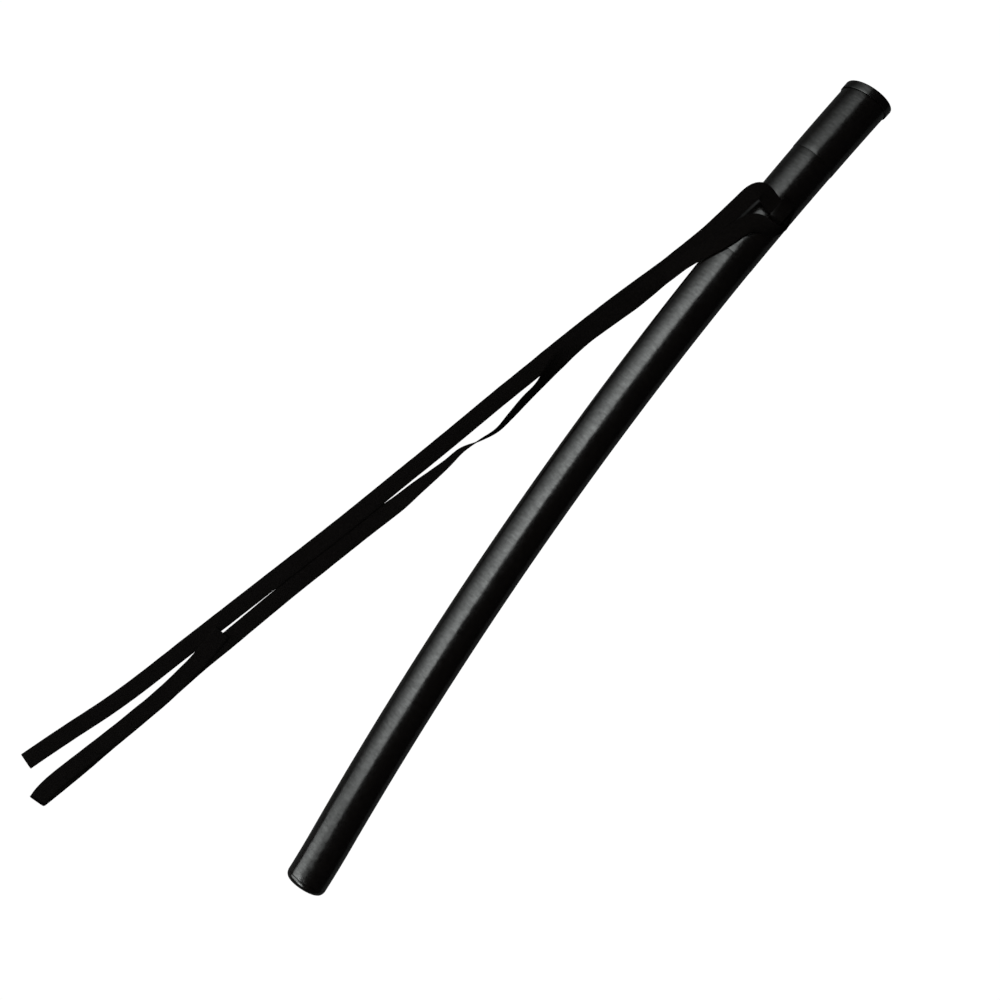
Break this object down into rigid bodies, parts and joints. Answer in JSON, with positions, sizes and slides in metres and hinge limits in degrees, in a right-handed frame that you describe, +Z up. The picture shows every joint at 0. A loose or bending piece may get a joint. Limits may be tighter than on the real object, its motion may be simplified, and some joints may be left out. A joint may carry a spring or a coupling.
{
  "type": "practice sword scabbard",
  "caption": "Curved oval plastic scabbard for a wooden practice sword, with a lip at its mouth, a closed tip and a flat woven cord through a knob on its side.",
  "frame": {"origin": "under the middle of the scabbard's box, at the surface that it lies on; the free cord is not counted", "axes": "+X along the chord of the bend towards the mouth, +Y towards the outside of the bend, +Z up from the flat side that it lies on, through the knob's side"},
  "size_m": [0.8524, 0.2705, 0.0411],
  "materials": {
    "black_plastic": "fine-grained moulded black plastic, low sheen",
    "grey_plastic": "plain dark grey plastic, unseen inside the tubes",
    "knob_plastic": "smooth moulded black plastic",
    "zinc_steel": "bright zinc-plated steel",
    "black_woven_cord": "flat tubular weave, matt black"
  },
  "bodies": {
    "root": {"mouth_ring": "black_plastic", "mouth_sleeve": "black_plastic", "throat_tube": "black_plastic", "body_tube": "black_plastic", "mouth_joint_sleeve": "grey_plastic", "body_joint_sleeve": "grey_plastic", "end_cap": "black_plastic", "cord_knob": "knob_plastic", "knob_screw_rear": "zinc_steel", "knob_screw_front": "zinc_steel", "cord_upper_half": "black_woven_cord", "cord_lower_half": "black_woven_cord", "cord_turned_back_end": "black_woven_cord"}
  },
  "joints": []
}
